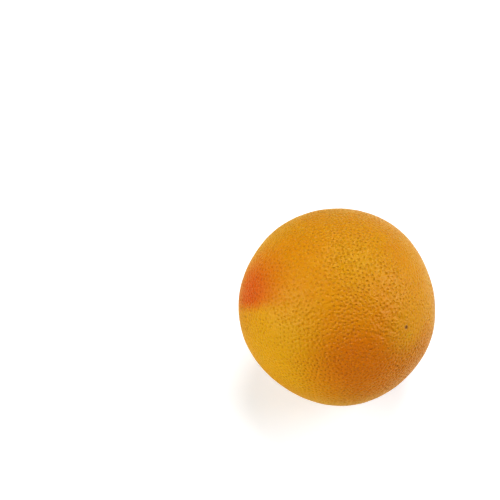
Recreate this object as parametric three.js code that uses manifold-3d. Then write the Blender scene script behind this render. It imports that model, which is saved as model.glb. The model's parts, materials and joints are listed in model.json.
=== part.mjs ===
// A whole grapefruit lying on its side, with the dried button of its stalk still on.
//
// Millimetres, +Z up. The origin is on the surface that the fruit rests on, under the
// middle of its box. The fruit is described as it lies: azimuths are counted from +X
// towards +Y, and elevations up from the level.
import * as THREE from "three";
import { mergeVertices } from "three/addons/utils/BufferGeometryUtils.js";
import Module from "manifold-3d";

const DEGREE = Math.PI / 180;

// Driving dimensions of the fruit.
const EQUATOR_RADIUS = 52; // round its widest part, midway between its two ends
const POLE_RADIUS = 49.7; // from its middle to either end: it is a little flattened
const REST_SPOT_RADIUS = 10; // the flat spot that it has settled onto
const BASIN_DEPTH = 1.5; // the dip round the stalk, below the skin beside it
const BASIN_SPREAD = 8.5 * DEGREE; // how far the dip reaches, seen from the middle

// The button: the five-lobed calyx, dried flat, and the stub of the stalk on it.
const BUTTON_RADIUS = 4.1; // to the middle of the lobes' wavy edge
const LOBE_COUNT = 5;
const LOBE_DEPTH = 0.45; // how far the edge waves out and in
const BUTTON_THICKNESS = 1.5;
const BUTTON_BEVEL = 0.35;
const STUB_RADIUS = 2.6; // at its foot
const STUB_TOP_RADIUS = 2.3; // at the cut end
const STUB_HEIGHT = 0.9; // above the calyx
const SEAT_DEPTH = 0.7; // how deep the button is set into the floor of the basin
const CLEARANCE = 0.3; // between the button and the skin round it

// How the fruit lies: its blossom end points to the front right and up.
const BLOSSOM_WAY = way(-46, 30);
const STEM_WAY = BLOSSOM_WAY.clone().negate();

// No fruit is a true spheroid. These broad swells stand out of it or, where the height
// is negative, flatten it. Each fades away over its spread.
const SWELLS = [
  { at: way(-163, -8), height: 1.3, spread: 26 * DEGREE }, // full cheek, low on the left
  { at: way(176, 12), height: 1.8, spread: 26 * DEGREE }, // shoulder beside the stalk
  { at: way(141, 34), height: 1.5, spread: 29 * DEGREE }, // shoulder above the stalk
  { at: way(12, 17), height: -1.4, spread: 29 * DEGREE }, // flatter right flank
  { at: way(-41, -22), height: -0.6, spread: 20 * DEGREE }, // flat under the blossom end
  { at: way(-127, -28), height: -0.7, spread: 26 * DEGREE }, // flat at the front, low down
];

// Fineness of the faceted solids.
const SECTORS = 64; // round the fruit's core
const RINGS = 36; // from the stem end to the blossom end
const RING_GATHER = 1.25; // above 1, rings lie closer together towards the stem end
const LOBE_STEPS = 8; // points along the edge of one lobe
const STUB_SIDES = 24;

const wasm = await Module();
wasm.setup();

/** Unit vector at an azimuth and an elevation in degrees. */
function way(azimuth, elevation) {
  const level = Math.cos(elevation * DEGREE);
  return new THREE.Vector3(
    level * Math.cos(azimuth * DEGREE),
    level * Math.sin(azimuth * DEGREE),
    Math.sin(elevation * DEGREE),
  );
}

/** Smooth hump: 1 where the offset is 0, and about a third where it equals the spread. */
function hump(offset, spread) {
  return Math.exp(-((offset / spread) ** 2));
}

/** Distance from the fruit's middle to its skin along a unit direction. */
function skinRadius(direction) {
  const alongCore = direction.dot(BLOSSOM_WAY);
  const across = (1 - alongCore ** 2) / EQUATOR_RADIUS ** 2;
  const along = alongCore ** 2 / POLE_RADIUS ** 2;
  let radius = 1 / Math.sqrt(across + along);
  radius -= BASIN_DEPTH * hump(direction.angleTo(STEM_WAY), BASIN_SPREAD);
  for (const swell of SWELLS) {
    radius += swell.height * hump(direction.angleTo(swell.at), swell.spread);
  }
  return radius;
}

/** Closed geometry to a manifold solid. */
function toSolid(geometry) {
  const bare = geometry.clone();
  bare.deleteAttribute("normal");
  bare.deleteAttribute("uv");
  const merged = mergeVertices(bare);
  return new wasm.Manifold(new wasm.Mesh({
    numProp: 3,
    vertProperties: new Float32Array(merged.attributes.position.array),
    triVerts: new Uint32Array(merged.index.array),
  }));
}

/** Manifold solid back to a geometry. */
function toGeometry(solid) {
  const mesh = solid.getMesh();
  const geometry = new THREE.BufferGeometry();
  geometry.setAttribute("position", new THREE.BufferAttribute(mesh.vertProperties, 3));
  geometry.setIndex(new THREE.BufferAttribute(mesh.triVerts, 1));
  geometry.computeVertexNormals();
  return geometry;
}

/** The skin all round, about the fruit's middle, with its rings round the stem end. */
function skinGeometry() {
  const geometry = new THREE.SphereGeometry(1, SECTORS, RINGS);
  const turn = new THREE.Quaternion().setFromUnitVectors(new THREE.Vector3(0, 1, 0), STEM_WAY);
  const position = geometry.attributes.position;
  const spot = new THREE.Spherical();
  const direction = new THREE.Vector3();
  for (let i = 0; i < position.count; i += 1) {
    spot.setFromVector3(direction.fromBufferAttribute(position, i));
    spot.phi = Math.PI * (spot.phi / Math.PI) ** RING_GATHER;
    direction.setFromSpherical(spot).applyQuaternion(turn);
    direction.multiplyScalar(skinRadius(direction));
    position.setXYZ(i, direction.x, direction.y, direction.z);
  }
  return geometry;
}

/** The button's lobed outline, grown outwards by some clearance. */
function lobedOutline(grow) {
  const steps = LOBE_COUNT * LOBE_STEPS;
  const points = [];
  for (let i = 0; i < steps; i += 1) {
    const turn = (i / steps) * 2 * Math.PI;
    const radius = BUTTON_RADIUS + LOBE_DEPTH * Math.cos(LOBE_COUNT * turn) + grow;
    points.push(new THREE.Vector2(radius * Math.cos(turn), radius * Math.sin(turn)));
  }
  return new THREE.Shape(points);
}

/** The dried button, standing on z = 0 with the cut stub upwards. */
function buttonGeometry() {
  const calyx = new THREE.ExtrudeGeometry(lobedOutline(-BUTTON_BEVEL), {
    depth: BUTTON_THICKNESS - 2 * BUTTON_BEVEL,
    bevelThickness: BUTTON_BEVEL,
    bevelSize: BUTTON_BEVEL,
    bevelSegments: 2,
  });
  calyx.translate(0, 0, BUTTON_BEVEL);
  const height = BUTTON_THICKNESS / 2 + STUB_HEIGHT;
  const stub = new THREE.CylinderGeometry(STUB_TOP_RADIUS, STUB_RADIUS, height, STUB_SIDES);
  stub.rotateX(Math.PI / 2);
  stub.translate(0, 0, BUTTON_THICKNESS + STUB_HEIGHT - height / 2);
  return toGeometry(toSolid(calyx).add(toSolid(stub)));
}

/** Moves a geometry made on z = 0 out to the stem end, facing away from the fruit. */
function setAtStem(geometry, distance) {
  const turn = new THREE.Quaternion().setFromUnitVectors(new THREE.Vector3(0, 0, 1), STEM_WAY);
  geometry.translate(0, 0, distance);
  geometry.applyQuaternion(turn);
  return geometry;
}

/** The fruit about its middle: the skin, less the button's seat and the flat underneath. */
function fruitGeometry(seatFloor, restHeight) {
  const seatTool = new THREE.ExtrudeGeometry(lobedOutline(CLEARANCE), {
    depth: 2 * BUTTON_THICKNESS,
    bevelEnabled: false,
  });
  const blockSide = 4 * EQUATOR_RADIUS;
  const groundBlock = new THREE.BoxGeometry(blockSide, blockSide, blockSide);
  groundBlock.translate(0, 0, -restHeight - blockSide / 2);
  const solid = toSolid(skinGeometry())
    .subtract(toSolid(setAtStem(seatTool, seatFloor)))
    .subtract(toSolid(groundBlock));
  return toGeometry(solid);
}

const seatFloor = skinRadius(STEM_WAY) - SEAT_DEPTH;

// The fruit settles until its flat spot is as wide as it should be.
const skinBox = new THREE.Box3().setFromBufferAttribute(skinGeometry().attributes.position);
const settling = EQUATOR_RADIUS - Math.sqrt(EQUATOR_RADIUS ** 2 - REST_SPOT_RADIUS ** 2);
const restHeight = -skinBox.min.z - settling;

const peelMaterial = new THREE.MeshStandardMaterial({
  color: 0xdc9222,
  roughness: 0.45,
  metalness: 0,
});
const buttonMaterial = new THREE.MeshStandardMaterial({
  color: 0x8f7a52,
  roughness: 0.85,
  metalness: 0,
});

const fruit = new THREE.Mesh(fruitGeometry(seatFloor, restHeight), peelMaterial);
fruit.name = "fruit";

const button = new THREE.Mesh(
  setAtStem(buttonGeometry(), seatFloor + CLEARANCE),
  buttonMaterial,
);
button.name = "stem_button";

const grapefruit = new THREE.Group();
grapefruit.add(fruit, button);
const middle = new THREE.Box3().setFromObject(grapefruit).getCenter(new THREE.Vector3());
grapefruit.position.set(-middle.x, -middle.y, restHeight);
grapefruit.updateMatrixWorld(true);

export default grapefruit;
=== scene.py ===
"""A whole grapefruit, lying on its side on a white studio floor.

The peel is a cage of square patches drawn onto the fruit, subdivided, and dimpled by
its oil glands. The button at the stalk end is raised from a circle, lobed and dried.
Everything is in metres, in the frame's own axes.
"""
import json
import math

import bmesh
import bpy
import numpy as np
from mathutils import Matrix, Vector
from mathutils.kdtree import KDTree

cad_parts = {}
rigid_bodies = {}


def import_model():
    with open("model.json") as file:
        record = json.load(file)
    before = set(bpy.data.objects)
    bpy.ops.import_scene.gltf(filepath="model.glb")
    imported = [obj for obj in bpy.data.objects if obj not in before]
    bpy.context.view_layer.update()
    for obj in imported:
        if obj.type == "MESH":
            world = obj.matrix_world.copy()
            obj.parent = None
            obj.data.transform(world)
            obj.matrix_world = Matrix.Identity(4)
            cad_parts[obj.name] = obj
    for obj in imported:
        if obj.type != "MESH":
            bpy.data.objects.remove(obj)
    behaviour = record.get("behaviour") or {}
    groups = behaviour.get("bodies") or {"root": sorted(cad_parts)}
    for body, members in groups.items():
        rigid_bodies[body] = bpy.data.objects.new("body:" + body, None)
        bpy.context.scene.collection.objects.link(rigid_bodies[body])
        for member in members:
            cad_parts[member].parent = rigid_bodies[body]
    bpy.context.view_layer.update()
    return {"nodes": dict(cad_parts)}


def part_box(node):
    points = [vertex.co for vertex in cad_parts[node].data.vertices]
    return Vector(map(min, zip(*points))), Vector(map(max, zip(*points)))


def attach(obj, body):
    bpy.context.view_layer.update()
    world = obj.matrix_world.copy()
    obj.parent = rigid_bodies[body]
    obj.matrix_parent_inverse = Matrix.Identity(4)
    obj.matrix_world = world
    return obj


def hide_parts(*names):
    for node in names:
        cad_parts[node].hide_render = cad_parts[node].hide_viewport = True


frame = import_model()

bl_info = {
    "name": "Grapefruit",
    "version": (1, 0, 0),
    "blender": (4, 5, 0),
    "location": "3D View > Sidebar > Grapefruit",
    "description": "Makes a grapefruit with dimpled peel, its dried button and a studio",
    "category": "Add Mesh",
}

MM = 0.001
SEED = 20


def way(azimuth, elevation):
    """Unit vector from an azimuth, counted from +X towards +Y, and an elevation."""
    a, e = math.radians(azimuth), math.radians(elevation)
    return Vector((math.cos(e) * math.cos(a), math.cos(e) * math.sin(a), math.sin(e)))


# How the fruit lies: the core runs from the stalk end to the blossom end.
BLOSSOM_WAY = way(-46, 30)
STEM_WAY = -BLOSSOM_WAY
CORE_LENGTH = 97 * MM
LOBES = 5
BUTTON_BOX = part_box("stem_button")
BUTTON_MIDDLE = (BUTTON_BOX[0] + BUTTON_BOX[1]) / 2
MIDDLE = BUTTON_MIDDLE - STEM_WAY * CORE_LENGTH / 2
# Turns a piece made about +Z so that its +Z points out of the stalk end.
STEM_TURN = Vector((0, 0, 1)).rotation_difference(STEM_WAY).to_matrix().to_4x4()
BUTTON_HEIGHT = 2.4 * MM
BUTTON_PLACE = Matrix.Translation(BUTTON_MIDDLE - STEM_WAY * BUTTON_HEIGHT / 2) @ STEM_TURN


# ---------------------------------------------------------------- settings


class FruitSettings(bpy.types.PropertyGroup):
    """Sizes and colours of the peel."""

    gland_gap: bpy.props.FloatProperty(
        name="Gland Gap", description="Usual distance between two oil glands",
        default=2.4 * MM, min=1 * MM, unit="LENGTH", precision=5)
    gland_radius: bpy.props.FloatProperty(
        name="Gland Radius", description="Radius of a middling gland's dimple",
        default=0.62 * MM, min=0.1 * MM, unit="LENGTH", precision=5)
    gland_depth: bpy.props.FloatProperty(
        name="Gland Depth", description="Depth of a strong, middling gland's dimple",
        default=0.12 * MM, min=0, unit="LENGTH", precision=5)
    swell: bpy.props.FloatProperty(
        name="Swell", description="Height of the slow waves in the peel",
        default=0.5 * MM, min=0, unit="LENGTH", precision=5)
    golden: bpy.props.FloatVectorProperty(
        name="Golden", description="Main colour of the peel",
        default=(0.665, 0.288, 0.004), subtype="COLOR", min=0, max=1)
    yellow: bpy.props.FloatVectorProperty(
        name="Yellow", description="Colour of the palest parts of the peel",
        default=(0.673, 0.333, 0.004), subtype="COLOR", min=0, max=1)
    orange: bpy.props.FloatVectorProperty(
        name="Orange", description="Colour of the ripest parts of the peel",
        default=(0.63, 0.160, 0.002), subtype="COLOR", min=0, max=1)
    blush: bpy.props.FloatVectorProperty(
        name="Blush", description="Colour of the pink blush on one cheek",
        default=(0.61, 0.083, 0.002), subtype="COLOR", min=0, max=1)


class ButtonSettings(bpy.types.PropertyGroup):
    """Sizes and colours of the dried button."""

    lobes: bpy.props.IntProperty(
        name="Lobes", description="Number of lobes of the calyx", default=LOBES, min=3)
    roughness: bpy.props.FloatProperty(
        name="Crumple", description="How far the dried tissue is crumpled",
        default=0.5 * MM, min=0, unit="LENGTH", precision=5)
    bark: bpy.props.FloatVectorProperty(
        name="Bark", description="Colour of the dry calyx",
        default=(0.66, 0.40, 0.12), subtype="COLOR", min=0, max=1)
    cut: bpy.props.FloatVectorProperty(
        name="Cut", description="Colour of the stalk's dried end",
        default=(0.80, 0.63, 0.27), subtype="COLOR", min=0, max=1)


class StageSettings(bpy.types.PropertyGroup):
    """The camera and the light."""

    view_elevation: bpy.props.FloatProperty(
        name="View Elevation", description="How steeply the camera looks down",
        default=math.radians(50), subtype="ANGLE")
    view_distance: bpy.props.FloatProperty(
        name="View Distance", description="From the camera to the fruit's middle plane",
        default=0.5283, unit="LENGTH")
    view_right: bpy.props.FloatProperty(
        name="View Right", description="How far right of the view's middle the fruit lies",
        default=0.0474, unit="LENGTH")
    view_down: bpy.props.FloatProperty(
        name="View Down", description="How far below the view's middle the fruit lies",
        default=0.0302, unit="LENGTH")
    lens: bpy.props.FloatProperty(
        name="Lens", description="Focal length of the camera, in millimetres", default=72)
    light: bpy.props.FloatProperty(
        name="Light", description="Strength of all the lamps together", default=1.0)
    fill: bpy.props.FloatProperty(
        name="Fill", description="Strength of the light from the room itself", default=0.12)


# ---------------------------------------------------------------- modelling helpers


def deselect_all():
    """Nothing is selected or active afterwards."""
    for item in bpy.context.view_layer.objects:
        item.select_set(False)
    bpy.context.view_layer.objects.active = None


def make_active(piece):
    """Only this piece is selected and active."""
    deselect_all()
    piece.select_set(True)
    bpy.context.view_layer.objects.active = piece


def finish_with(piece, kind, **settings):
    """Adds a modifier to the piece and applies it."""
    make_active(piece)
    modifier = piece.modifiers.new(kind.title(), kind)
    for name, value in settings.items():
        setattr(modifier, name, value)
    bpy.ops.object.modifier_apply(modifier=modifier.name)


def clouds(name, size, depth):
    """A cloud texture for a Displace modifier: the size of its lumps, and its octaves."""
    texture = bpy.data.textures.new(name, "CLOUDS")
    texture.noise_scale = size
    texture.noise_depth = depth
    texture.noise_basis = "ORIGINAL_PERLIN"
    return texture


def places(mesh):
    """The mesh's vertices as rows of an array."""
    found = np.empty(len(mesh.vertices) * 3)
    mesh.vertices.foreach_get("co", found)
    return found.reshape(-1, 3)


def put_places(mesh, rows):
    """Moves the mesh's vertices to the rows of an array."""
    mesh.vertices.foreach_set("co", np.asarray(rows, np.float32).ravel())
    mesh.update()


def tree_of(rows):
    """A search tree over the rows of an array."""
    tree = KDTree(len(rows))
    for index, row in enumerate(rows):
        tree.insert(row, index)
    tree.balance()
    return tree


def unit_rows(rows):
    """Each row of an array made one long."""
    return rows / np.linalg.norm(rows, axis=1)[:, None]


def note(mesh, name, kind, domain, values):
    """Keeps values on the mesh as an attribute, for the piece's material."""
    attribute = mesh.attributes.new(name, kind, domain)
    field = "vector" if kind == "FLOAT_VECTOR" else "value"
    attribute.data.foreach_set(field, np.asarray(values, np.float32).ravel())


# ---------------------------------------------------------------- the peel's shape

SWELL_SIZE = 14 * MM    # of the slow waves in the peel
PATCHES = 31            # square patches along each edge of the cage, an odd number
STEM_PATCHES = 5        # patches along the square that the stalk's seat takes out
SEAT_RIM = 7.0 * MM     # radius of the round edge that the square is drawn out to
EASED_REACH = 2.7       # patches round the hole are evened out to this many times its size
EASING_ROUNDS = 6
RIM_SLACK = 1.01        # so that the hole's own edge counts as inside its reach
STEM_FACE = 0.99        # what lies above this on the cube, from -1 to 1, is its stalk side
# Rings from that edge down to the seat of the button: radius, height above the button's
# underside, and how far the ring follows the lobes of the calyx.
SEAT_RINGS = (
    (6.1, 0.80, 0.01), (5.4, 0.82, 0.03), (4.9, 0.88, 0.05), (4.6, 0.78, 0.07),
    (4.42, 0.58, 0.07), (4.25, 0.36, 0.07), (3.9, 0.15, 0.05), (2.8, -0.30, 0),
    (1.4, -0.35, 0),
)


def to_sphere(rows):
    """Cube surface to unit sphere, with patches of nearly equal size."""
    return unit_rows(np.tan(rows * math.pi / 4))


def make_cage():
    """A round cage of square patches, with a round hole at its stalk end."""
    deselect_all()
    bpy.ops.mesh.primitive_cube_add(size=2)
    cage = bpy.context.active_object
    bpy.ops.object.mode_set(mode="EDIT")
    bpy.ops.mesh.select_all(action="SELECT")
    bpy.ops.mesh.subdivide(number_cuts=PATCHES - 1)
    bpy.ops.mesh.select_all(action="DESELECT")
    bpy.ops.object.mode_set(mode="OBJECT")
    reach = STEM_PATCHES / PATCHES
    for face in cage.data.polygons:
        x, y, z = face.center
        face.select = z > STEM_FACE and max(abs(x), abs(y)) < reach
    bpy.ops.object.mode_set(mode="EDIT")
    bpy.ops.mesh.delete(type="FACE")
    bpy.ops.object.mode_set(mode="OBJECT")
    rows = places(cage.data)
    on_stem_face = rows[:, 2] > STEM_FACE
    square = np.abs(rows[:, :2]).max(axis=1)
    on_rim = on_stem_face & (square < reach * RIM_SLACK)
    near_rim = on_stem_face & (square < reach * EASED_REACH) & ~on_rim
    rows = to_sphere(rows)
    angle = SEAT_RIM / (CORE_LENGTH / 2)
    turn = np.arctan2(rows[:, 1], rows[:, 0])
    rim = np.stack([np.sin(angle) * np.cos(turn), np.sin(angle) * np.sin(turn),
                    np.full(len(rows), math.cos(angle))], axis=1)
    rows[on_rim] = rim[on_rim]
    put_places(cage.data, rows)
    cage.data.vertices.foreach_set("select", near_rim)
    bpy.ops.object.mode_set(mode="EDIT")
    bpy.ops.mesh.select_mode(type="VERT")
    bpy.ops.mesh.vertices_smooth(factor=0.5, repeat=EASING_ROUNDS)
    bpy.ops.object.mode_set(mode="OBJECT")
    return cage


def draw_onto_fruit(cage):
    """Turns the cage to the stalk end and draws it onto the frame's fruit."""
    rows = unit_rows(places(cage.data)) * CORE_LENGTH / 2
    put_places(cage.data, rows)
    cage.data.transform(Matrix.Translation(MIDDLE) @ STEM_TURN)
    finish_with(cage, "SHRINKWRAP", target=frame["nodes"]["fruit"],
                wrap_method="NEAREST_SURFACEPOINT")


def extrude_rings(piece, rings, placed):
    """Extrudes the selected open edge ring by ring, about the axis of a placement.

    A ring is (radius, height, how far it follows the lobes), in millimetres.
    """
    for radius, height, lobed in rings:
        bpy.ops.mesh.extrude_edges_move()
        mesh = bmesh.from_edit_mesh(piece.data)
        for vertex in mesh.verts:
            if vertex.select:
                x, y, _ = placed.inverted() @ vertex.co
                wave = 1 + lobed * math.cos(math.atan2(y, x) * LOBES)
                out = radius * MM * wave / math.hypot(x, y)
                vertex.co = placed @ Vector((x * out, y * out, height * MM))
        bmesh.update_edit_mesh(piece.data)


def close_hole():
    """Closes the piece's one open edge with a fan of triangles, in edit mode."""
    bpy.ops.mesh.select_all(action="DESELECT")
    bpy.ops.mesh.select_non_manifold()
    bpy.ops.mesh.edge_face_add()
    bpy.ops.mesh.poke()


def finish_editing():
    """Turns every face outwards and leaves edit mode."""
    bpy.ops.mesh.select_all(action="SELECT")
    bpy.ops.mesh.normals_make_consistent(inside=False)
    bpy.ops.object.mode_set(mode="OBJECT")


def sink_seat(cage):
    """Extrudes the round hole inwards, ring by ring, down to the button's seat."""
    make_active(cage)
    bpy.ops.object.mode_set(mode="EDIT")
    bpy.ops.mesh.select_mode(type="EDGE")
    bpy.ops.mesh.select_all(action="DESELECT")
    bpy.ops.mesh.select_non_manifold()
    extrude_rings(cage, SEAT_RINGS, BUTTON_PLACE)
    close_hole()
    finish_editing()


MAP_FILL = 0.985            # how much of its share of the map a side fills
EDGE_ANGLE = math.pi / 4    # from the middle of a side to its edge, seen from inside


def lay_out_map(cage):
    """Lays the six sides of the cage side by side on a map, three by two."""
    mesh = cage.data
    while mesh.uv_layers:
        mesh.uv_layers.remove(mesh.uv_layers[0])
    layer = mesh.uv_layers.new(name="OFBake")
    to_cube = (Matrix.Translation(MIDDLE) @ STEM_TURN).inverted()
    for face in mesh.polygons:
        centre = to_cube @ face.center
        side = max(range(3), key=lambda axis: abs(centre[axis]))
        sign = 1 if centre[side] > 0 else -1
        across, up = (side + 1) % 3, (side + 2) % 3
        column, row = side, (1 + sign) // 2
        for corner in face.loop_indices:
            place = to_cube @ mesh.vertices[mesh.loops[corner].vertex_index].co
            u = math.atan2(place[across], abs(place[side])) / EDGE_ANGLE * sign
            v = math.atan2(place[up], abs(place[side])) / EDGE_ANGLE
            layer.data[corner].uv = ((column + 0.5 + u * 0.5 * MAP_FILL) / 3,
                                     (row + 0.5 + v * 0.5 * MAP_FILL) / 2)


# ---------------------------------------------------------------- the oil glands

SPREADING_ROUNDS = 7
NEIGHBOURS = 6
PUSH = 0.35                     # share of each overlap that a round pushes apart
PUSH_REACH = 1.12               # glands closer than this many gaps push each other apart
CELL_AREA = 0.866               # peel to each gland when they lie evenly, in squared gaps
SIZE_LOG = (-0.02, 0.18)        # mean and spread of the logarithm of a gland's size
SIZE_RANGE = (0.6, 1.4)
POWER_SPREAD = (0.68, 0.10)     # mean and spread of how strong a gland is
POWER_RANGE = (0.4, 0.9)
DIMPLE_REACH = 1.25             # a dimple's radius, in gland radii
LEAST_DEPTH = 0.25              # share of its depth that any dimple has
WEIGHT_SCALE = 1.6              # a weight of 1 stands for this many gland depths


def spread_glands(gap, radius, rng):
    """Directions of the glands: scattered, then pushed apart until they are even."""
    count = int(4 * math.pi * radius ** 2 / (CELL_AREA * gap ** 2))
    rows = unit_rows(rng.normal(size=(count, 3)))
    reach = gap / radius
    for _ in range(SPREADING_ROUNDS):
        tree = tree_of(rows)
        push = np.zeros_like(rows)
        for index, row in enumerate(rows):
            for place, _, distance in tree.find_n(row, NEIGHBOURS + 1)[1:]:
                closeness = max(0.0, PUSH_REACH * reach - distance)
                push[index] += (row - np.array(place)) / max(distance, 1e-6) * closeness
        rows = unit_rows(rows + PUSH * push)
    return rows


def place_glands(rows, settings):
    """Centres, sizes and strengths of the glands, and the vertex nearest to each.

    Those under and right round the button have no strength, and make no dimple.
    """
    rng = np.random.default_rng(SEED)
    middle = np.array(MIDDLE)
    vertex_tree = tree_of(rows)
    mean_radius = float(np.linalg.norm(rows - middle, axis=1).mean())
    directions = spread_glands(settings.gland_gap, mean_radius, rng)
    count = len(directions)
    size = settings.gland_radius * np.clip(rng.lognormal(*SIZE_LOG, count), *SIZE_RANGE)
    strength = np.clip(rng.normal(*POWER_SPREAD, count), *POWER_RANGE)
    centres = np.empty_like(directions)
    nearest = np.empty(count, int)
    for index, direction in enumerate(directions):
        place, nearest[index], _ = vertex_tree.find(middle + direction * mean_radius)
        centres[index] = middle + direction * np.linalg.norm(np.array(place) - middle)
    bare = np.linalg.norm(centres - np.array(BUTTON_MIDDLE), axis=1) < SEAT_RIM
    strength[bare] = 0
    return centres, size, strength, nearest


def dimple_peel(fruit, settings):
    """Presses a dimple into the peel over each oil gland, and notes the glands.

    Every corner of a face keeps its place relative to the nearest gland, in gland
    radii, and every face how strong that gland is, for the peel's material.
    """
    mesh = fruit.data
    rows = places(mesh)
    centres, size, strength, nearest = place_glands(rows, settings)
    shown = strength > 0
    rows[nearest[shown]] = centres[shown]
    put_places(mesh, rows)
    gland_tree = tree_of(centres)
    press = fruit.vertex_groups.new(name="glands")
    for index, row in enumerate(rows):
        _, gland, distance = gland_tree.find(row)
        share = distance / (DIMPLE_REACH * size[gland])
        if share < 1 and shown[gland]:
            fullness = LEAST_DEPTH + (1 - LEAST_DEPTH) * strength[gland]
            depth = (1 - share ** 2) ** 2 * fullness * size[gland] / settings.gland_radius
            press.add([index], depth / WEIGHT_SCALE, "REPLACE")
    corners = np.empty((len(mesh.loops), 3))
    powers = np.empty(len(mesh.loops))
    for face in mesh.polygons:
        _, gland, _ = gland_tree.find(face.center)
        for corner in face.loop_indices:
            offset = rows[mesh.loops[corner].vertex_index] - centres[gland]
            corners[corner] = offset / size[gland]
            powers[corner] = strength[gland]
    note(mesh, "gland_place", "FLOAT_VECTOR", "CORNER", corners)
    note(mesh, "gland_power", "FLOAT", "CORNER", powers)
    finish_with(fruit, "DISPLACE", vertex_group="glands", mid_level=0,
                strength=-WEIGHT_SCALE * settings.gland_depth)
    fruit.vertex_groups.remove(fruit.vertex_groups["glands"])


def settle(fruit):
    """Nothing of the fruit reaches below the floor: the flat spot is flat."""
    rows = places(fruit.data)
    rows[:, 2] = np.maximum(rows[:, 2], 0)
    put_places(fruit.data, rows)


# ---------------------------------------------------------------- material helpers


def node(tree, kind, values=None, **settings):
    """Adds a node. Values go to its inputs: a socket is linked, anything else is set."""
    made = tree.nodes.new(kind)
    for name, value in settings.items():
        setattr(made, name, value)
    for key, value in (values or {}).items():
        socket = made.inputs[key]
        if isinstance(value, bpy.types.NodeSocket):
            tree.links.new(value, socket)
        else:
            socket.default_value = value
    return made


def maths(tree, operation, first, second, clamp=False):
    """Result of a Math node."""
    made = node(tree, "ShaderNodeMath", {0: first, 1: second},
                operation=operation, use_clamp=clamp)
    return made.outputs[0]


def vector_maths(tree, operation, output, *values):
    """One output of a Vector Math node, "Vector" or "Value"."""
    made = node(tree, "ShaderNodeVectorMath", dict(enumerate(values)),
                operation=operation)
    return made.outputs[output]


def noted(tree, name, output="Fac"):
    """What note kept on the mesh: a value, or with output "Vector" a vector."""
    made = node(tree, "ShaderNodeAttribute", attribute_type="GEOMETRY",
                attribute_name=name)
    return made.outputs[output]


def mixed(tree, share, first, second, blend="MIX"):
    """Result of a Mix node on two colours. A colour is a socket or (r, g, b)."""
    sides = []
    for colour in (first, second):
        is_socket = isinstance(colour, bpy.types.NodeSocket)
        sides.append(colour if is_socket else (*colour, 1.0))
    made = node(tree, "ShaderNodeMix", {0: share, 6: sides[0], 7: sides[1]},
                data_type="RGBA", blend_type=blend, clamp_factor=True)
    return made.outputs[2]


def laid_on(tree, colour, mask, share, tint):
    """The colour with a tint over it where the mask is, as strongly as the share."""
    return mixed(tree, maths(tree, "MULTIPLY", mask, share), colour, tuple(tint))


def stepped(tree, value, low, high, start=0.0, end=1.0):
    """Smooth step of a value from start, at low, to end, at high."""
    made = node(tree, "ShaderNodeMapRange",
                {0: value, 1: low, 2: high, 3: start, 4: end},
                interpolation_type="SMOOTHSTEP")
    return made.outputs[0]


def scaled_inside(tree, value, mask, factor):
    """The value, multiplied by the factor where the mask is 1."""
    return maths(tree, "MULTIPLY", value, stepped(tree, mask, 0.0, 1.0, 1.0, factor))


def raise_surface(tree, shader, height):
    """Gives the shader's surface a relief, from a height in metres."""
    bump = node(tree, "ShaderNodeBump", {"Strength": 1.0, "Distance": 1.0,
                "Height": height})
    tree.links.new(bump.outputs[0], shader.inputs["Normal"])


def noise(tree, place, scale, detail, roughness=0.5, distortion=0.0):
    """Value of a noise texture, about 0.5 on the whole. Scale is in lumps per unit."""
    made = node(tree, "ShaderNodeTexNoise",
                {"Vector": place, "Scale": scale, "Detail": detail,
                 "Roughness": roughness, "Distortion": distortion})
    return made.outputs["Fac"]


def new_group(name, inputs, outputs):
    """An empty shader node group, with its ends. Each socket is (name, kind, value)."""
    group = bpy.data.node_groups.new(name, "ShaderNodeTree")
    for label, kind, value in inputs:
        socket = group.interface.new_socket(label, in_out="INPUT", socket_type=kind)
        socket.default_value = value
    for label, kind in outputs:
        group.interface.new_socket(label, in_out="OUTPUT", socket_type=kind)
    return group, group.nodes.new("NodeGroupInput"), group.nodes.new("NodeGroupOutput")


def patch_group():
    """A ragged patch of peel that faces some way.

    Direction is a place's direction from the middle of the fruit. The mask is 1 nearer
    to Facing than Inner and 0 farther than Outer, on a sphere of radius 1. Its edge
    swings in and out by about Ragged, and by twice that at most.
    """
    group, start, end = new_group(
        "ragged patch",
        [("Direction", "NodeSocketVector", (0, 0, 1)),
         ("Facing", "NodeSocketVector", (0, 0, 1)),
         ("Inner", "NodeSocketFloat", 0.2),
         ("Outer", "NodeSocketFloat", 0.5),
         ("Ragged", "NodeSocketFloat", 0.1)],
        [("Mask", "NodeSocketFloat")])
    reach = vector_maths(group, "DISTANCE", "Value",
                         start.outputs["Direction"], start.outputs["Facing"])
    lumps = noise(group, start.outputs["Direction"], 5.0, detail=4.0, roughness=0.6)
    swing = maths(group, "MULTIPLY", maths(group, "SUBTRACT", lumps, 0.5),
                  start.outputs["Ragged"])
    moved = maths(group, "ADD", reach, maths(group, "MULTIPLY", swing, 4.0))
    mask = stepped(group, moved, start.outputs["Inner"], start.outputs["Outer"], 1.0, 0.0)
    group.links.new(mask, end.inputs["Mask"])
    return group


def mottle_group():
    """Slow and quick variation in one value, about 0.5: blotches with grain in them."""
    group, start, end = new_group(
        "mottle",
        [("Place", "NodeSocketVector", (0, 0, 0)),
         ("Blotch Scale", "NodeSocketFloat", 60.0),
         ("Grain Scale", "NodeSocketFloat", 600.0),
         ("Grain Share", "NodeSocketFloat", 0.3)],
        [("Value", "NodeSocketFloat")])
    blotch = noise(group, start.outputs["Place"], start.outputs["Blotch Scale"], 3.0, 0.55)
    grain = noise(group, start.outputs["Place"], start.outputs["Grain Scale"], 2.0, 0.6)
    made = node(group, "ShaderNodeMix",
                {0: start.outputs["Grain Share"], 2: blotch, 3: grain}, data_type="FLOAT")
    group.links.new(made.outputs[0], end.inputs["Value"])
    return group


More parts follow.
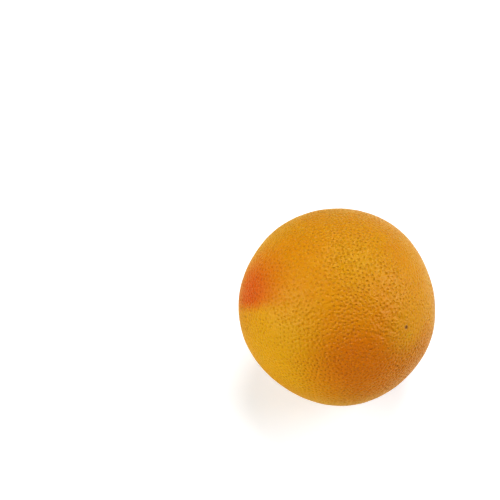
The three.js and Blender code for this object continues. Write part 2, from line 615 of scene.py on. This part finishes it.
def use_group(tree, group, **values):
    """Places a node group. An underscore in a value's name stands for a space."""
    made = tree.nodes.new("ShaderNodeGroup")
    made.node_tree = group
    for key, value in values.items():
        socket = made.inputs[key.replace("_", " ")]
        if isinstance(value, bpy.types.NodeSocket):
            tree.links.new(value, socket)
        else:
            socket.default_value = value
    return made.outputs[0]


def new_material(name):
    """A node material: its tree and its Principled shader."""
    material = bpy.data.materials.new(name)
    material.use_nodes = True
    tree = material.node_tree
    return material, tree, tree.nodes["Principled BSDF"]


# ---------------------------------------------------------------- the peel's material

# Patches of the peel: the way they face, how near to that they are whole, how far from
# it they are gone, on a sphere of radius 1, and how ragged their edge is.
YELLOW_CHEEK = (way(-130, 12), 0.25, 0.72, 0.05)
ORANGE_BELLY = (way(-83, 18), 0.12, 0.76, 0.05)
RED_BELLY = (way(-52, -14), 0.25, 0.80, 0.08)
RED_SIDE = (way(-32, 5), 0.06, 0.36, 0.05)
# Painted bounce light: a pale cap on the underside, standing in for the white floor's light
# reflected on the lower rim.
PAINTED_BOUNCE_UNDERSIDE = (way(-90, -70), 0.50, 1.12, 0.04)
# A painted highlight: a yellow patch on the top, where the top lamp's highlight falls.
PAINTED_HIGHLIGHT_TOP = (way(-73, 80), 0.00, 0.38, 0.06)
BLUSH_HALO = (way(-174, 40), 0.15, 0.52, 0.05)
# The blush: partly the peel's own pink, partly painted reflection and shade of a
# neighbouring fruit, carried out to the left rim.
BLUSH_AND_PAINTED_REFLECTION = (way(-171, 23), 0.05, 0.60, 0.03)
BELOW_BLUSH = (way(-88, -34), 1.36, 1.47, 0.02)
BLOSSOM_END = (BLOSSOM_WAY, 0.08, 0.36, 0.04)
CREASED_SIDE = (way(-62, 37), 0.10, 0.43, 0.06)
CREASED_STEM = (STEM_WAY, 0.10, 0.32, 0.04)
STEM_END = (STEM_WAY, 0.12, 0.60, 0.06)
BACK_CHEEK = (way(60, 5), 0.3, 1.0, 0.12)
# The scar of the blossom end, from its pit outwards, and a green fleck beside it.
SCAR_WAY = way(-47.0, 30.9)
SCAR_PIT = (SCAR_WAY, 0.004, 0.022, 0.002)
SCAR = (SCAR_WAY, 0.012, 0.022, 0.003)
SCAR_RING = (SCAR_WAY, 0.016, 0.040, 0.004)
GREEN_FLECK = (way(-47, 25), 0.01, 0.05, 0.01)
# The seat of the button, with painted shade in the gap round the button, and the stain
# round it.
GAP_SHADE_RING = (STEM_WAY, 0.084, 0.094, 0.003)
STAIN = (way(134, -33), 0.06, 0.20, 0.08)
# Small brown marks, most of them near the stalk: each a patch and how dark it is.
MARKS = (
    ((way(117, -13), 0.004, 0.034, 0.014), 0.85),
    ((way(119, -17), 0.002, 0.016, 0.006), 0.70),
    ((way(150, -8), 0.004, 0.030, 0.012), 0.60),
    ((way(160, -41), 0.002, 0.016, 0.010), 0.60),
    ((way(75, 38), 0.003, 0.022, 0.015), 0.45),
    ((way(28, 8), 0.002, 0.014, 0.012), 0.50),
    ((way(200, -12), 0.002, 0.018, 0.014), 0.45),
)
# Patches where the peel is smoother or coarser: how strong its relief is there, and
# how dark its glands.
# The glands' darkness is partly their own colour and partly painted shade in their dimples.
TEXTURE_PATCHES = (
    ((way(175, 52), 0.30, 0.90, 0.05), 0.80, 0.20),
    ((way(-8, 28), 0.20, 0.75, 0.05), 0.65, 0.65),
    ((way(-129, 38), 0.20, 0.60, 0.05), 0.78, 1.00),
    ((way(-60, 84), 0.15, 0.60, 0.05), 1.12, 0.85),
    ((way(-19, 59), 0.10, 0.45, 0.05), 0.75, 0.80),
    ((way(-83, 8), 0.15, 0.60, 0.05), 0.85, 0.70),
    ((way(-125, -4), 0.30, 0.85, 0.05), 0.66, 0.62),
    ((way(40, 62), 0.25, 0.60, 0.05), 0.78, 0.80),
    ((way(-42, 29), 0.06, 0.30, 0.04), 0.50, 0.40),
)
# Colours of the peel that no setting changes.
# Painted bounce light from the floor, laid pale on the underside.
PAINTED_BOUNCE_PALE = (0.82, 0.45, 0.10)
GREEN_GOLD = (0.66, 0.35, 0.004)
SCAR_TAN = (0.58, 0.27, 0.09)
SCAR_BROWN = (0.22, 0.06, 0.002)
STAIN_BROWN = (0.30, 0.075, 0.003)
# Painted shade in the gap round the button.
PAINTED_SEAT_SHADE_BROWN = (0.17, 0.065, 0.008)
# What the peel's colour is multiplied by over a gland, for the gland's own darker colour
# and painted shade in its dimple, and in the pale grain.
GLAND_TINT_AND_PIT_SHADE = (0.86, 0.60, 0.4)
PALE_GRAIN = (1.08, 1.16, 1.3)
# What the gloss is tinted by, which takes the blue out of it.
GLOSS_TINT = (1.0, 0.88, 0.64, 1.0)
SHALLOW_LIGHT = (1.0, 0.35, 0.08)   # how much farther red light spreads under the skin
# Roughness where the peel is glossiest and where it is dullest.
PEEL_ROUGHNESS = (0.26, 0.38)
# In gland radii: how far a gland's dark spot and its dip reach, and how much their
# outline wobbles.
SPOT_RADIUS = 1.15
DIP_RADIUS = 1.5
WOBBLE = 0.8
# The gland spot's darkening is partly painted shade in the dimple.
SPOT_DARKNESS = 0.50        # share of the tint over a gland of strength 1
BLUSH_STRENGTH = 0.95
WAVY_RELIEF = 0.6           # strength of the glands' relief among the waves
# Values of a noise between which its effect sets in.
BLOTCH_EDGES = (0.38, 0.66)
PALE_GRAIN_EDGES = (0.5, 0.72)
DULL_EDGES = (0.3, 0.7)
# Lumps per metre of the noises.
WOBBLE_SCALE = 900.0
PALE_GRAIN_SCALE = 1500.0
PEBBLE_SCALE = 440.0
GRAIN_SCALE = 850.0
WAVE_SCALE = 420.0
# Heights of the relief.
DIP_DEPTH = 0.75 * MM
PEBBLE_HEIGHT = 0.35 * MM
GRAIN_HEIGHT = 0.65 * MM
FOLD_HEIGHT = 1.4 * MM
WAVE_HEIGHT = 1.5 * MM
PIT_DEPTH = 0.5 * MM


def ground_colour(tree, settings, coordinates, mottle, mask_of):
    """The peel between its glands: a mottled gold with patches of colour on it, a painted
    highlight on its top, painted floor bounce on its underside, and a blush that is partly
    painted reflection at the left rim.
    """
    blotches = use_group(tree, mottle, Place=coordinates, Blotch_Scale=45.0,
                         Grain_Scale=420.0, Grain_Share=0.35)
    deeper = tuple(0.75 * gold + 0.25 * orange
                   for gold, orange in zip(settings.golden, settings.orange))
    colour = mixed(tree, stepped(tree, blotches, *BLOTCH_EDGES), settings.golden, deeper)
    for spec, tint, share in (
            (BACK_CHEEK, settings.orange, 0.45),
            (BLUSH_HALO, settings.orange, 0.14),
            (YELLOW_CHEEK, settings.yellow, 1.0),
            (ORANGE_BELLY, settings.orange, 0.8),
            (RED_BELLY, settings.orange, 0.5),
            (RED_SIDE, settings.orange, 0.3),
            # Painted bounce light from the floor on the underside.
            (PAINTED_BOUNCE_UNDERSIDE, PAINTED_BOUNCE_PALE, 0.85),
            # The painted highlight on the top.
            (PAINTED_HIGHLIGHT_TOP, settings.yellow, 0.7),
            (STEM_END, settings.yellow, 0.8),
            (BLOSSOM_END, settings.golden, 0.8)):
        colour = laid_on(tree, colour, mask_of(spec), share, tint)
    # The blush, partly painted reflection and shade at the left rim.
    above = maths(tree, "SUBTRACT", BLUSH_STRENGTH, mask_of(BELOW_BLUSH), clamp=True)
    return laid_on(tree, colour, mask_of(BLUSH_AND_PAINTED_REFLECTION), above, settings.blush)


def gland_distance(tree, coordinates):
    """How far the nearest gland is, in gland radii, with a wobble in its outline."""
    distance = vector_maths(tree, "LENGTH", "Value", noted(tree, "gland_place", "Vector"))
    wobble = maths(tree, "SUBTRACT", noise(tree, coordinates, WOBBLE_SCALE, 1.0), 0.5)
    return maths(tree, "ADD", distance, maths(tree, "MULTIPLY", wobble, WOBBLE))


def texture_strengths(tree, power, mask_of):
    """How strong the relief is and how dark the glands and the painted shade in their
    dimples are, region by region.
    """
    relief, darkness = 1.0, maths(tree, "MULTIPLY", power, SPOT_DARKNESS)
    for spec, relief_there, darkness_there in TEXTURE_PATCHES:
        mask = mask_of(spec)
        relief = scaled_inside(tree, relief, mask, relief_there)
        darkness = scaled_inside(tree, darkness, mask, darkness_there)
    return relief, darkness


def marked_colour(tree, colour, coordinates, distance, darkness, mask_of):
    """The ground colour with its glands, darkened partly by painted shade in their dimples,
    pale grain, both ends, small marks and painted shade in the button's seat.
    """
    spot = stepped(tree, distance, 0.0, SPOT_RADIUS, 1.0, 0.0)
    # Over each gland: its own darker colour and painted shade in its dimple.
    darker = mixed(tree, 1.0, colour, GLAND_TINT_AND_PIT_SHADE, "MULTIPLY")
    colour = mixed(tree, maths(tree, "MULTIPLY", spot, darkness), colour, darker)
    fine = noise(tree, coordinates, PALE_GRAIN_SCALE, 2.0, 0.6)
    pale = mixed(tree, 1.0, colour, PALE_GRAIN, "MULTIPLY")
    colour = mixed(tree, stepped(tree, fine, *PALE_GRAIN_EDGES), colour, pale)
    for spec, share, tint in ((GREEN_FLECK, 0.5, GREEN_GOLD), (SCAR_RING, 0.5, SCAR_TAN),
                              (SCAR, 0.95, SCAR_BROWN)):
        colour = laid_on(tree, colour, mask_of(spec), share, tint)
    for spec, share in ((STAIN, 0.8), *MARKS):
        colour = laid_on(tree, colour, mask_of(spec), share, STAIN_BROWN)
    # Painted shade: dark brown laid in the gap round the button.
    return mixed(tree, mask_of(GAP_SHADE_RING), colour, PAINTED_SEAT_SHADE_BROWN)


def crease_heights(tree, coordinates, direction, wavy, mask_of):
    """Folds drawn together round the button, and waves along one side of the other end.

    The waves are about three times as long in X as they are across it.
    """
    to_stem = vector_maths(tree, "DISTANCE", "Value", direction, tuple(STEM_WAY))
    from_axis = vector_maths(tree, "CROSS_PRODUCT", "Vector", direction, tuple(STEM_WAY))
    turn = vector_maths(tree, "NORMALIZE", "Vector", from_axis)
    folds = node(tree, "ShaderNodeTexNoise",
                 {"Vector": turn, "W": maths(tree, "MULTIPLY", to_stem, 5.0),
                  "Scale": 4.0, "Detail": 1.0, "Roughness": 0.5},
                 noise_dimensions="4D").outputs["Fac"]
    folds = maths(tree, "MULTIPLY", folds, mask_of(CREASED_STEM))
    stretched = node(tree, "ShaderNodeMapping",
                     {"Vector": coordinates, "Scale": (0.32, 1, 1)}).outputs[0]
    waves = noise(tree, stretched, WAVE_SCALE, 1.0, distortion=0.6)
    waves = maths(tree, "MULTIPLY", waves, wavy)
    return maths(tree, "ADD", maths(tree, "MULTIPLY", folds, FOLD_HEIGHT),
                 maths(tree, "MULTIPLY", waves, WAVE_HEIGHT))


def peel_height(tree, coordinates, direction, distance, power, relief, mask_of):
    """Height of the relief: glands, pebbles between them, grain, creases and the scar."""
    wavy = mask_of(CREASED_SIDE)
    creases = crease_heights(tree, coordinates, direction, wavy, mask_of)
    relief = scaled_inside(tree, relief, wavy, WAVY_RELIEF)
    dip = stepped(tree, distance, 0.0, DIP_RADIUS, 1.0, 0.0)
    dip = maths(tree, "MULTIPLY", dip, power)
    pebbles = noise(tree, coordinates, PEBBLE_SCALE, 1.0, 0.6)
    grain = noise(tree, coordinates, GRAIN_SCALE, 1.0, 0.6)
    height = maths(tree, "ADD", maths(tree, "MULTIPLY", dip, -DIP_DEPTH),
                   maths(tree, "MULTIPLY", pebbles, PEBBLE_HEIGHT))
    height = maths(tree, "ADD", height, maths(tree, "MULTIPLY", grain, GRAIN_HEIGHT))
    height = maths(tree, "MULTIPLY", height, relief)
    height = maths(tree, "ADD", height, creases)
    pit = maths(tree, "MULTIPLY", mask_of(SCAR_PIT), PIT_DEPTH)
    return maths(tree, "SUBTRACT", height, pit)


def peel_material(settings, patch, mottle):
    """Waxy peel: patches of colour and painted light, glands darkened partly by painted
    shade, small marks and both its ends.
    """
    material, tree, shader = new_material("peel")
    coordinates = node(tree, "ShaderNodeTexCoord").outputs["Object"]
    centred = node(tree, "ShaderNodeMapping", {"Vector": coordinates,
                   "Location": tuple(-MIDDLE)}).outputs[0]
    direction = vector_maths(tree, "NORMALIZE", "Vector", centred)

    def mask_of(spec):
        facing, inner, outer, ragged = spec
        return use_group(tree, patch, Direction=direction, Facing=tuple(facing),
                         Inner=inner, Outer=outer, Ragged=ragged)

    distance = gland_distance(tree, coordinates)
    power = noted(tree, "gland_power")
    relief, darkness = texture_strengths(tree, power, mask_of)
    colour = ground_colour(tree, settings, coordinates, mottle, mask_of)
    colour = marked_colour(tree, colour, coordinates, distance, darkness, mask_of)
    tree.links.new(colour, shader.inputs["Base Color"])

    dullness = use_group(tree, mottle, Place=coordinates, Blotch_Scale=80.0,
                         Grain_Scale=900.0, Grain_Share=0.5)
    tree.links.new(stepped(tree, dullness, *DULL_EDGES, *PEEL_ROUGHNESS),
                   shader.inputs["Roughness"])
    raise_surface(tree, shader, peel_height(tree, coordinates, direction, distance,
                                            power, relief, mask_of))
    for name, value in (("IOR", 1.38),
                        ("Specular Tint", GLOSS_TINT),
                        ("Subsurface Weight", 0.10),
                        ("Subsurface Radius", SHALLOW_LIGHT),
                        ("Subsurface Scale", 1.5 * MM)):
        shader.inputs[name].default_value = value
    return material


# ---------------------------------------------------------------- the button

# The button ring by ring, from its underside up over the calyx to the stalk's dried end:
# radius, height, and how far the ring follows the lobes, which are drawn out later.
BUTTON_RINGS = (
    (1.8, 0.0, 0), (3.2, 0.0, 0), (3.85, 0.2, 0), (4.1, 0.55, 0), (4.1, 1.0, 0),
    (3.95, 1.35, 0), (3.75, 1.5, 0), (3.5, 1.4, 0), (3.35, 1.1, 0), (3.2, 0.9, 0),
    (3.05, 1.2, 0), (2.9, 1.6, 0), (2.5, 1.95, 0), (1.8, 2.1, 0), (1.0, 2.2, 0),
)
BUTTON_SIDES = 40
# The lobes, in millimetres. They start STALK_EDGE from the axis and are full LOBED_WIDTH
# farther out. Only what lies outside CALYX_EDGE is lifted, in full above LIFT_HEIGHT.
STALK_EDGE = 2.0
LOBED_WIDTH = 1.9
CALYX_EDGE = 3.4
LIFT_HEIGHT = 1.2
LIFT_RANGE = (-0.15, 0.35)  # of a lobe's tip, drawn for each lobe
LOBE_DEPTH = 0.10           # of the radius
TIP_RANGE = (0.7, 1.15)     # share of that depth, drawn for each lobe
CRUMPLE_SIZE = 0.8 * MM
HOLLOW_CONTRAST = 2.2       # how quickly a place turns from ridge to hollow
# The stalk's dried end begins between these heights, in millimetres.
CUT_HEIGHTS = (1.3, 1.6)
FIBRE_EDGES = (0.3, 0.7)    # values of the fibre between which its effect sets in
SPECK_SCALE = 1300.0        # lumps per metre
BUTTON_ROUGHNESS = (0.75, 0.92)
FIBRE_HEIGHT = 0.6 * MM
CUT_SPECKS = (0.16, 0.085, 0.02)
# Painted shade laid into the button's crumpled hollows.
HOLLOW_SHADE_BROWN = (0.07, 0.035, 0.006)


def raise_button():
    """Raises the button from a circle, ring by ring, and closes both its ends."""
    deselect_all()
    bpy.ops.mesh.primitive_circle_add(vertices=BUTTON_SIDES,
                                      radius=BUTTON_RINGS[0][0] * MM)
    button = bpy.context.active_object
    button.name = button.data.name = "stem_button_dry"
    bpy.ops.object.mode_set(mode="EDIT")
    bpy.ops.mesh.select_mode(type="EDGE")
    bpy.ops.mesh.select_all(action="SELECT")
    extrude_rings(button, BUTTON_RINGS[1:], Matrix.Identity(4))
    bpy.ops.mesh.edge_face_add()
    bpy.ops.mesh.poke()
    close_hole()
    finish_editing()
    return button


def lobe_button(button, lobes):
    """Draws the calyx out into lobes, each with its own tip and lift."""
    rng = np.random.default_rng(SEED + 1)
    rows = places(button.data) / MM
    radius = np.hypot(rows[:, 0], rows[:, 1])
    turn = np.arctan2(rows[:, 1], rows[:, 0])
    tips = rng.uniform(*TIP_RANGE, lobes)
    lifts = rng.uniform(*LIFT_RANGE, lobes)
    part = (turn / (2 * math.pi) * lobes + 0.5) % lobes
    here = part.astype(int) % lobes
    wave = np.cos(turn * lobes)
    outer = np.clip((radius - STALK_EDGE) / LOBED_WIDTH, 0, 1)
    stretch = 1 + outer ** 1.5 * LOBE_DEPTH * wave * tips[here]
    rows[:, :2] *= stretch[:, None]
    top = np.clip(rows[:, 2] / LIFT_HEIGHT, 0, 1)
    rows[:, 2] += (radius > CALYX_EDGE) * top * np.clip(wave, 0, 1) * lifts[here]
    put_places(button.data, rows * MM)


def button_material(settings, mottle):
    """Dry calyx, with painted shade darkening its hollows between its ridges."""
    material, tree, shader = new_material("dry_button")
    coordinates = node(tree, "ShaderNodeTexCoord").outputs["Object"]
    fibre = use_group(tree, mottle, Place=coordinates, Blotch_Scale=700.0,
                      Grain_Scale=2600.0, Grain_Share=0.4)
    dark_bark = tuple(0.45 * part for part in settings.bark)
    bark = mixed(tree, stepped(tree, fibre, *FIBRE_EDGES), dark_bark, settings.bark)
    dark_cut = tuple(0.5 * part for part in settings.cut)
    cut = mixed(tree, stepped(tree, fibre, 0.35, 0.65), dark_cut, settings.cut)
    specks = noise(tree, coordinates, SPECK_SCALE, 1.0)
    cut = mixed(tree, stepped(tree, specks, 0.56, 0.68, 0.0, 0.8), cut, CUT_SPECKS)
    on_cut = stepped(tree, noted(tree, "button_height"), *CUT_HEIGHTS)
    colour = mixed(tree, on_cut, bark, cut)
    # Painted shade: the crumpled hollows are darkened.
    colour = laid_on(tree, colour, noted(tree, "button_hollow_shade"), 0.75, HOLLOW_SHADE_BROWN)
    tree.links.new(colour, shader.inputs["Base Color"])
    tree.links.new(stepped(tree, fibre, *FIBRE_EDGES, *BUTTON_ROUGHNESS),
                   shader.inputs["Roughness"])
    raise_surface(tree, shader, maths(tree, "MULTIPLY", fibre, FIBRE_HEIGHT))
    return material


def crumple_button(button, depth):
    """Crumples the dried button, and notes each place's height and how hollow it is, for
    the painted shade in its hollows.
    """
    before = places(button.data)
    finish_with(button, "DISPLACE", texture=clouds("crumple", CRUMPLE_SIZE, 3),
                texture_coords="LOCAL", mid_level=0.5, strength=depth)
    after = places(button.data)
    normals = np.empty(len(after) * 3)
    button.data.vertices.foreach_get("normal", normals)
    lift = ((after - before) * normals.reshape(-1, 3)).sum(axis=1)
    hollow = np.clip(0.5 - HOLLOW_CONTRAST * lift / depth, 0, 1)
    note(button.data, "button_height", "FLOAT", "POINT", before[:, 2] / MM)
    note(button.data, "button_hollow_shade", "FLOAT", "POINT", hollow)


# ---------------------------------------------------------------- the stage

FLOOR_WIDTH = 12
SHEET_WHITE = (0.82, 0.82, 0.82)
SHEET_SHADE = (0.80, 0.80, 0.80)
WARM_BOUNCE = (0.88, 0.83, 0.36)
COOL_GLOW = (0.10, 0.12, 0.25)
OVEREXPOSURE = (0.35, 0.39, 0.42)
# The glow sets in between these places in X, and between these in Y.
GLOW_ACROSS = (-10 * MM, 60 * MM)
GLOW_BACK = (-70 * MM, -40 * MM)
DIM_ROOM = (1.0, 0.95, 0.82)
BACKDROP_BRIGHTNESS = 1.05
SENSOR_WIDTH = 36               # of the camera, in millimetres


def make_floor():
    """A wide white sheet under the fruit.

    The camera sees it white and a little overexposed, and it throws a warm light on the
    fruit. Reflections also see a cool glow on it, to the right of the fruit.
    """
    deselect_all()
    bpy.ops.mesh.primitive_plane_add(size=FLOOR_WIDTH)
    floor = bpy.context.active_object
    floor.name = floor.data.name = "floor"
    material, tree, shader = new_material("white_sheet")
    coordinates = node(tree, "ShaderNodeTexCoord").outputs["Object"]
    grain = noise(tree, coordinates, 900.0, 2.0)
    white = mixed(tree, grain, SHEET_SHADE, SHEET_WHITE)
    rays = node(tree, "ShaderNodeLightPath")
    seen = rays.outputs["Is Camera Ray"]
    tree.links.new(mixed(tree, seen, WARM_BOUNCE, white), shader.inputs["Base Color"])
    place = node(tree, "ShaderNodeSeparateXYZ", {0: coordinates})
    beside = maths(tree, "MULTIPLY", stepped(tree, place.outputs["X"], *GLOW_ACROSS),
                   stepped(tree, place.outputs["Y"], *GLOW_BACK))
    mirrored = maths(tree, "MULTIPLY", rays.outputs["Is Glossy Ray"], beside)
    glow = mixed(tree, mirrored, (0, 0, 0), COOL_GLOW)
    tree.links.new(mixed(tree, seen, glow, OVEREXPOSURE), shader.inputs["Emission Color"])
    shader.inputs["Emission Strength"].default_value = 1
    shader.inputs["Roughness"].default_value = 0.8
    shader.inputs["Specular IOR Level"].default_value = 0.1
    floor.data.materials.append(material)


# Broad lamps: name, the way to it, how wide it looks in degrees, its strength and its
# colour.
LAMPS = (
    ("lamp_right", way(-2, 31), 40, 1.43, (1, 1, 1.12)),
    ("lamp_left", way(-158, 23), 52, 1.85, (1, 1, 0.93)),
    ("lamp_top", way(75, 64), 30, 1.42, (1, 1, 1)),
)


def make_light(settings):
    """Three broad soft lamps in a dim room, which has a white backdrop all round."""
    for name, towards, width, strength, colour in LAMPS:
        light = bpy.data.lights.new(name, "SUN")
        light.angle = math.radians(width)
        light.energy = settings.light * strength
        light.color = colour
        lamp = bpy.data.objects.new(name, light)
        bpy.context.scene.collection.objects.link(lamp)
        lamp.rotation_mode = "QUATERNION"
        lamp.rotation_quaternion = towards.to_track_quat("Z", "Y")
    world = bpy.data.worlds.new("room")
    bpy.context.scene.world = world
    world.use_nodes = True
    tree = world.node_tree
    seen = node(tree, "ShaderNodeLightPath").outputs["Is Camera Ray"]
    backdrop = tree.nodes["Background"]
    tree.links.new(mixed(tree, seen, DIM_ROOM, (1, 1, 1)), backdrop.inputs["Color"])
    tree.links.new(stepped(tree, seen, 0.0, 1.0, settings.fill, BACKDROP_BRIGHTNESS),
                   backdrop.inputs["Strength"])


def make_camera(settings):
    """The camera looks down at the fruit, which lies right of and below the middle."""
    camera = bpy.data.objects.new("camera", bpy.data.cameras.new("camera"))
    bpy.context.scene.collection.objects.link(camera)
    camera.data.lens = settings.lens
    camera.data.sensor_width = SENSOR_WIDTH
    pitch = settings.view_elevation
    right = Vector((1, 0, 0))
    up = Vector((0, math.sin(pitch), math.cos(pitch)))
    ahead = Vector((0, math.cos(pitch), -math.sin(pitch)))
    camera.location = (MIDDLE - right * settings.view_right + up * settings.view_down
                       - ahead * settings.view_distance)
    camera.rotation_euler = (math.pi / 2 - pitch, 0, 0)
    bpy.context.scene.camera = camera


# ---------------------------------------------------------------- operators


def shared_group(name, make):
    """A node group by name, made the first time it is asked for."""
    return bpy.data.node_groups.get(name) or make()


class GRAPEFRUIT_OT_fruit(bpy.types.Operator):
    """Make the fruit: its cage, its seat for the button, its dimples and its peel"""

    bl_idname = "grapefruit.make_fruit"
    bl_label = "Make Fruit"

    def execute(self, context):
        settings = context.scene.grapefruit_fruit
        fruit = make_cage()
        draw_onto_fruit(fruit)
        sink_seat(fruit)
        lay_out_map(fruit)
        finish_with(fruit, "SUBSURF", levels=2, render_levels=2)
        finish_with(fruit, "DISPLACE", texture=clouds("slow waves", SWELL_SIZE, 1),
                    texture_coords="LOCAL", mid_level=0.5, strength=settings.swell)
        dimple_peel(fruit, settings)
        settle(fruit)
        fruit.name = fruit.data.name = "fruit_peel"
        make_active(fruit)
        bpy.ops.object.shade_smooth()
        patch = shared_group("ragged patch", patch_group)
        mottle = shared_group("mottle", mottle_group)
        fruit.data.materials.append(peel_material(settings, patch, mottle))
        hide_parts("fruit")
        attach(fruit, "root")
        return {"FINISHED"}


class GRAPEFRUIT_OT_button(bpy.types.Operator):
    """Make the dried button at the stalk end"""

    bl_idname = "grapefruit.make_button"
    bl_label = "Make Button"

    def execute(self, context):
        settings = context.scene.grapefruit_button
        button = raise_button()
        lobe_button(button, settings.lobes)
        finish_with(button, "SUBSURF", levels=2, render_levels=2)
        crumple_button(button, settings.roughness)
        button.data.transform(BUTTON_PLACE)
        make_active(button)
        bpy.ops.object.shade_smooth()
        mottle = shared_group("mottle", mottle_group)
        button.data.materials.append(button_material(settings, mottle))
        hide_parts("stem_button")
        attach(button, "root")
        return {"FINISHED"}


class GRAPEFRUIT_OT_stage(bpy.types.Operator):
    """Make the floor, the light and the camera"""

    bl_idname = "grapefruit.make_stage"
    bl_label = "Make Stage"

    def execute(self, context):
        settings = context.scene.grapefruit_stage
        make_floor()
        make_light(settings)
        make_camera(settings)
        context.scene.view_settings.view_transform = "Standard"
        context.scene.view_settings.look = "Medium High Contrast"
        return {"FINISHED"}


# ---------------------------------------------------------------- panel and run


class GRAPEFRUIT_PT_panel(bpy.types.Panel):
    """The grapefruit's steps and settings"""

    bl_idname = "GRAPEFRUIT_PT_panel"
    bl_label = "Grapefruit"
    bl_space_type = "VIEW_3D"
    bl_region_type = "UI"
    bl_category = "Grapefruit"

    def draw(self, context):
        for operator, settings in (
                (GRAPEFRUIT_OT_fruit, context.scene.grapefruit_fruit),
                (GRAPEFRUIT_OT_button, context.scene.grapefruit_button),
                (GRAPEFRUIT_OT_stage, context.scene.grapefruit_stage)):
            column = self.layout.column()
            column.operator(operator.bl_idname)
            for name in settings.__annotations__:
                column.prop(settings, name)


CLASSES = (
    FruitSettings, ButtonSettings, StageSettings,
    GRAPEFRUIT_OT_fruit, GRAPEFRUIT_OT_button, GRAPEFRUIT_OT_stage, GRAPEFRUIT_PT_panel,
)


def register():
    for item in CLASSES:
        bpy.utils.register_class(item)
    scene = bpy.types.Scene
    scene.grapefruit_fruit = bpy.props.PointerProperty(type=FruitSettings)
    scene.grapefruit_button = bpy.props.PointerProperty(type=ButtonSettings)
    scene.grapefruit_stage = bpy.props.PointerProperty(type=StageSettings)


def unregister():
    scene = bpy.types.Scene
    del scene.grapefruit_fruit, scene.grapefruit_button, scene.grapefruit_stage
    for item in reversed(CLASSES):
        bpy.utils.unregister_class(item)


def main():
    """Makes all the pieces in order."""
    register()
    bpy.ops.grapefruit.make_fruit()
    bpy.ops.grapefruit.make_button()
    bpy.ops.grapefruit.make_stage()


if __name__ == "__main__":
    main()
